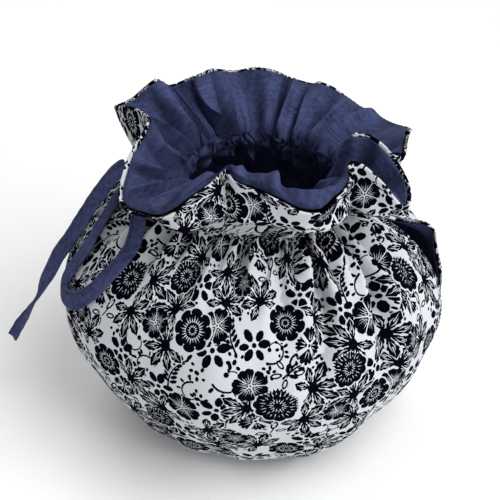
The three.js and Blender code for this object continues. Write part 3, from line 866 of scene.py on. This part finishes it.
# ---- tie ----
def tie_piece():
    bends = curve_through(TIE, False, 10)
    centres = bends[:, :3]
    ahead = np.gradient(centres, axis=0)
    ahead /= np.linalg.norm(ahead, axis=1)[:, None]
    face = bends[:, 3:] - ahead * np.sum(bends[:, 3:] * ahead, axis=1)[:, None]
    face /= np.linalg.norm(face, axis=1)[:, None]
    across = np.cross(ahead, face)
    run = running_length(centres)
    w, t = TIE_WIDTH / 2, TIE_THICK / 2
    # outline of the strap's section: (across, out); the stitched groove is near one side
    outline = np.array([
        (-w, 0), (-w + 0.12, 0.55 * t), (-w + 0.5, 0.92 * t), (-w + 1.2, t), (-1.6, 0.96 * t),
        (0.4, 0.96 * t), (w - 2.9, t), (w - 2.45, t), (w - 2.1, 0.1 * t), (w - 1.75, t),
        (w - 1.0, 1.15 * t), (w - 0.4, 0.9 * t), (w - 0.1, 0.5 * t), (w, 0), (w - 0.1, -0.5 * t),
        (w - 0.5, -0.9 * t), (w - 1.4, -t), (1.0, -0.94 * t), (-1.2, -0.94 * t), (-w + 1.2, -t),
        (-w + 0.45, -0.9 * t), (-w + 0.1, -0.5 * t),
    ])
    points = []
    for i in range(len(centres)):
        sway = 0.1 * math.sin(run[i] * 0.31) + 0.08 * math.sin(run[i] * 0.83 + 1)
        cup = 0.25 * math.sin(run[i] * 0.055 + 0.6) + 0.12 * math.sin(run[i] * 0.19)
        for x, y in outline:
            slant = TIE_CUT * (x / w) if i == len(centres) - 1 else 0
            pucker = 0.07 * math.sin(run[i] * 2.3 + x) * math.exp(-((x - w + 2.1) / 1.2) ** 2)
            lift = y * (1 + 0.08 * math.sin(run[i] * 0.9 + x)) + cup * (x / w) ** 2 + pucker
            aside = x * (1 + 0.02 * sway) + sway
            points.append(centres[i] + across[i] * aside + face[i] * lift + ahead[i] * slant)
    n = len(outline)
    faces = []
    for i in range(len(centres) - 1):
        for k in range(n):
            a, b = i * n + k, i * n + (k + 1) % n
            faces.append((a, b, b + n, a + n))
    faces.append(tuple(range(n))[::-1])
    last = (len(centres) - 1) * n
    faces.append(tuple(range(last, last + n)))
    piece = new_mesh("tie_strap", points, faces)
    flat = np.array([(run[i], x) for i in range(len(centres)) for x, _ in outline])
    add_cloth_map(piece.data, flat)
    seam = centres + across * (w - 2.6) + face * (t + 0.03)
    return piece, centres, run[-1], seam


def node_maker(nodes):
    """Function that adds a node with its settings, then the values of its inputs."""
    def add(kind, inputs=(), **settings):
        node = nodes.new(kind)
        for name, value in settings.items():
            setattr(node, name, value)
        for name, value in dict(inputs).items():
            node.inputs[name].default_value = value
        return node
    return add


# ---- stitches ----
def stitch_tree(thread):
    """Stitches in a row along the edges of a mesh: pitch, length and width are its inputs."""
    tree = bpy.data.node_groups.new("Stitch row", "GeometryNodeTree")
    face = tree.interface
    face.new_socket("Geometry", in_out="INPUT", socket_type="NodeSocketGeometry")
    for name in ("Pitch", "Length", "Width"):
        face.new_socket(name, in_out="INPUT", socket_type="NodeSocketFloat")
    face.new_socket("Geometry", in_out="OUTPUT", socket_type="NodeSocketGeometry")
    add = node_maker(tree.nodes)
    start, end = add("NodeGroupInput"), add("NodeGroupOutput")
    curve = add("GeometryNodeMeshToCurve")
    spaced = add("GeometryNodeResampleCurve", mode="LENGTH")
    ball = add("GeometryNodeMeshUVSphere", {"Segments": 6, "Rings": 5, "Radius": 0.5})
    tangent = add("GeometryNodeInputTangent")
    aim = add("FunctionNodeAlignRotationToVector", axis="X")
    size = add("ShaderNodeCombineXYZ")
    put = add("GeometryNodeInstanceOnPoints")
    real = add("GeometryNodeRealizeInstances")
    cloth = add("GeometryNodeSetMaterial", {"Material": thread})
    link = tree.links.new
    link(start.outputs["Geometry"], curve.inputs[0])
    link(curve.outputs[0], spaced.inputs["Curve"])
    link(start.outputs["Pitch"], spaced.inputs["Length"])
    link(tangent.outputs[0], aim.inputs["Vector"])
    link(start.outputs["Length"], size.inputs[0])
    link(start.outputs["Width"], size.inputs[1])
    link(start.outputs["Width"], size.inputs[2])
    link(spaced.outputs[0], put.inputs["Points"])
    link(ball.outputs[0], put.inputs["Instance"])
    link(aim.outputs[0], put.inputs["Rotation"])
    link(size.outputs[0], put.inputs["Scale"])
    link(put.outputs[0], real.inputs[0])
    link(real.outputs[0], cloth.inputs["Geometry"])
    link(cloth.outputs[0], end.inputs[0])
    return tree


def stitch_rows(name, rows, tree, stitch):
    """Piece of stitches along rows of points."""
    points, edges = [], []
    for row in rows:
        start = len(points)
        points.extend((np.asarray(row) * MM).tolist())
        edges.extend((i, i + 1) for i in range(start, len(points) - 1))
    path = bpy.data.meshes.new(name + "_path")
    path.from_pydata(points, edges, [])
    guide = add_object(name + "_guide", path)
    modifier = guide.modifiers.new("Stitches", "NODES")
    modifier.node_group = tree
    sizes = dict(zip(("Pitch", "Length", "Width"), stitch))
    for item in tree.interface.items_tree:
        if item.in_out == "INPUT" and item.name in sizes:
            modifier[item.identifier] = sizes[item.name] * MM
    ready = guide.evaluated_get(bpy.context.evaluated_depsgraph_get())
    mesh = bpy.data.meshes.new_from_object(ready)
    mesh.name = name
    mesh.shade_smooth()
    bpy.data.objects.remove(guide)
    return add_object(name, mesh)


def level_row(panel, y, reach, lift):
    """Line across a panel at one height, just off its cloth."""
    x = np.linspace(-reach, reach, 500) * panel.half_width(y)
    y = np.full_like(x, y)
    return panel.at(x, y) + panel.normals(x, y) * lift


def side_row(panel, side, inset, low, high, lift):
    """Line up one side of a panel, just off its cloth."""
    y = np.linspace(low, high, 200)
    x = side * (panel.half_width(y) - inset)
    return panel.at(x, y) + panel.normals(x, y) * lift


# ---- finishes ----
def finish(name, colour, roughness, sheen=0.0, sheen_colour=(1, 1, 1, 1)):
    """Dull material, how to add and link its nodes, and its shader."""
    material = bpy.data.materials.new(name)
    material.use_nodes = True
    tree = material.node_tree
    shader = tree.nodes["Principled BSDF"]
    for entry, value in (
        ("Base Color", (*colour, 1)), ("Roughness", roughness), ("Specular IOR Level", 0.08),
        ("Sheen Weight", sheen), ("Sheen Roughness", 0.45), ("Sheen Tint", sheen_colour),
    ):
        shader.inputs[entry].default_value = value
    return material, node_maker(tree.nodes), tree.links.new, shader


def woven(add, link, shader, threads, strength):
    """Plain weave on the flat cloth's own map, with slubs in the threads."""
    flat = add("ShaderNodeUVMap", uv_map="Cloth")
    weave = add("ShaderNodeMath", operation="MULTIPLY")
    for k, turn in enumerate((0, math.pi / 2)):
        placed = add("ShaderNodeMapping", {"Rotation": (0, 0, turn)})
        bands = add("ShaderNodeTexWave", {
            "Scale": threads, "Distortion": 1.2, "Detail": 1.0, "Detail Scale": 2.0,
        })
        link(flat.outputs[0], placed.inputs[0])
        link(placed.outputs[0], bands.inputs[0])
        link(bands.outputs["Fac"], weave.inputs[k])
    slub = add("ShaderNodeTexNoise", {"Scale": 34, "Detail": 4})
    together = add("ShaderNodeMath", operation="ADD")
    bump = add("ShaderNodeBump", {"Strength": strength, "Distance": 0.0003})
    link(flat.outputs[0], slub.inputs[0])
    link(weave.outputs[0], together.inputs[0])
    link(slub.outputs["Fac"], together.inputs[1])
    link(together.outputs[0], bump.inputs["Height"])
    link(bump.outputs[0], shader.inputs["Normal"])
    return flat, slub


def printed_cotton():
    """The pale ground of the print and its dark blue ink."""
    ground, add, link, shader = finish("Cotton ground", (0.565, 0.59, 0.625), 0.9, 0.05)
    woven(add, link, shader, 60, 0.25)
    ink, add, link, shader = finish("Printed blue", (0.0014, 0.0016, 0.006), 0.9)
    shader.inputs["Specular IOR Level"].default_value = 0.01
    woven(add, link, shader, 60, 0.25)
    return ground, ink


def navy_cotton():
    """Blue cotton in uneven tones, with painted shade making it darker deep in its pleats."""
    navy, add, link, shader = finish(
        "Blue cotton", (0.025, 0.031, 0.075), 0.9, 0.02, (0.6, 0.62, 1, 1)
    )
    flat, slub = woven(add, link, shader, 55, 0.35)
    patch = add("ShaderNodeTexNoise", {"Scale": 7, "Detail": 5})
    half = add("ShaderNodeMath", {1: 0.45}, operation="MULTIPLY")
    blend = add("ShaderNodeMath", {1: 0.55}, operation="MULTIPLY_ADD")
    tone = add("ShaderNodeValToRGB")
    ramp = ((0.3, (0.015, 0.0195, 0.051, 1)), (0.72, (0.076, 0.092, 0.215, 1)))
    for stop, (position, colour) in zip(tone.color_ramp.elements, ramp):
        stop.position, stop.color = position, colour
    link(flat.outputs[0], patch.inputs[0])
    link(slub.outputs["Fac"], blend.inputs[0])
    link(patch.outputs["Fac"], half.inputs[0])
    link(half.outputs[0], blend.inputs[2])
    link(blend.outputs[0], tone.inputs[0])
    # painted shade: the colour is mixed towards near-black blue where the lining lies deep in its
    # pleats
    depth = add("ShaderNodeAttribute", attribute_name="Depth")
    shade_strength = add("ShaderNodeMath", {1: 0.62}, operation="MULTIPLY")
    shade = add("ShaderNodeMix", {"B": (0.006, 0.0075, 0.02, 1)}, data_type="RGBA")
    link(depth.outputs["Fac"], shade_strength.inputs[0])
    link(shade_strength.outputs[0], shade.inputs["Factor"])
    link(tone.outputs[0], shade.inputs["A"])
    link(shade.outputs["Result"], shader.inputs["Base Color"])
    return navy


# ---- camera and light ----
def add_camera():
    azimuth, elevation, roll = (math.radians(x) for x in VIEW)
    back = Vector((
        math.sin(azimuth) * math.cos(elevation), -math.cos(azimuth) * math.cos(elevation),
        math.sin(elevation),
    ))
    right = Vector((math.cos(azimuth), math.sin(azimuth), 0))
    up = back.cross(right)
    tilted = right * math.cos(roll) + up * math.sin(roll)
    up = up * math.cos(roll) - right * math.sin(roll)
    aside, height = AIM
    target = Vector((aside * math.cos(azimuth), aside * math.sin(azimuth), height)) * MM
    lens = bpy.data.cameras.new("Camera")
    lens.sensor_width = SENSOR
    lens.lens = FOCAL_LENGTH
    lens.clip_start = 0.01
    camera = add_object("Camera", lens)
    place = target + back * DISTANCE
    camera.matrix_world = Matrix((
        (tilted.x, up.x, back.x, place.x), (tilted.y, up.y, back.y, place.y),
        (tilted.z, up.z, back.z, place.z), (0, 0, 0, 1),
    ))
    bpy.context.scene.camera = camera


def add_lamp(name, place, size, power):
    lamp = bpy.data.lights.new(name, "AREA")
    lamp.shape = "DISK"
    lamp.size = size
    lamp.energy = power
    holder = add_object(name, lamp)
    holder.location = place
    aim = Vector((0, 0, 0.09)) - Vector(place)
    holder.rotation_euler = aim.to_track_quat("-Z", "Y").to_euler()


def add_floor():
    mesh = bpy.data.meshes.new("floor")
    s = FLOOR
    mesh.from_pydata([(-s, -s, 0), (s, -s, 0), (s, s, 0), (-s, s, 0)], [], [(0, 1, 2, 3)])
    floor = add_object("floor", mesh)
    mesh.materials.append(finish("Pale floor", (0.95, 0.95, 0.95), 0.9)[0])


def hand_over(panel, cloth, sewn, node):
    """Hang a finished panel and its stitches on the root body, and hide the part that they stand in
    for.
    """
    width = 2 * max(panel.rim_half, float(panel.half_width(BODY_CLOTH)))
    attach(cloth, "root")
    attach(sewn, "root")
    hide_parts(node)
    panel.flat_area() * MM * MM


def main():
    bpy.context.scene.view_settings.view_transform = "Standard"
    add_camera()
    add_floor()
    for lamp in LAMPS:
        add_lamp(*lamp)
    world = bpy.data.worlds.new("Studio")
    world.use_nodes = True
    light = world.node_tree.nodes["Background"].inputs
    light[0].default_value, light[1].default_value = (1, 1, 1, 1), WORLD_LIGHT
    bpy.context.scene.world = world

    ground, ink = printed_cotton()
    navy = navy_cotton()
    tree = stitch_tree(finish("Sewing thread", (0.03, 0.032, 0.1), 0.6, 0.2)[0])

    for name, back, shift, node in (
        ("front_cloth", False, (-41.0, -18.0), "outer_front"),
        ("back_cloth", True, (15.0, -46.0), "outer_back"),
    ):
        panel = Panel(name, False, back)
        cloth = printed_piece(panel, shift)
        cloth.data.materials.append(ground)
        cloth.data.materials.append(ink)
        rows = [level_row(panel, 7.0, 0.985, 0.12)]
        rows += [side_row(panel, side, 3.0, 62, 160, 0.12) for side in (-1, 1)]
        sewn = stitch_rows(panel.name + "_stitches", rows, tree, STITCH)
        hand_over(panel, cloth, sewn, node)
    for name, back, node in (
        ("front_lining", False, "lining_front"), ("back_lining", True, "lining_back"),
    ):
        panel = Panel(name, True, back)
        cloth = plain_piece(panel)
        cloth.data.materials.append(navy)
        rows = [level_row(panel, BODY_CLOTH + y, 0.99, -0.1) for y in (1.0, CHANNEL_HEIGHT - 0.6)]
        sewn = stitch_rows(panel.name + "_stitches", rows, tree, FINE_STITCH)
        hand_over(panel, cloth, sewn, node)

    strap, centres, length, seam = tie_piece()
    strap.data.materials.append(navy)
    sewn = stitch_rows("tie_stitches", [seam], tree, TIE_STITCH)
    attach(strap, "root")
    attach(sewn, "root")
    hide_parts("tie")


main()
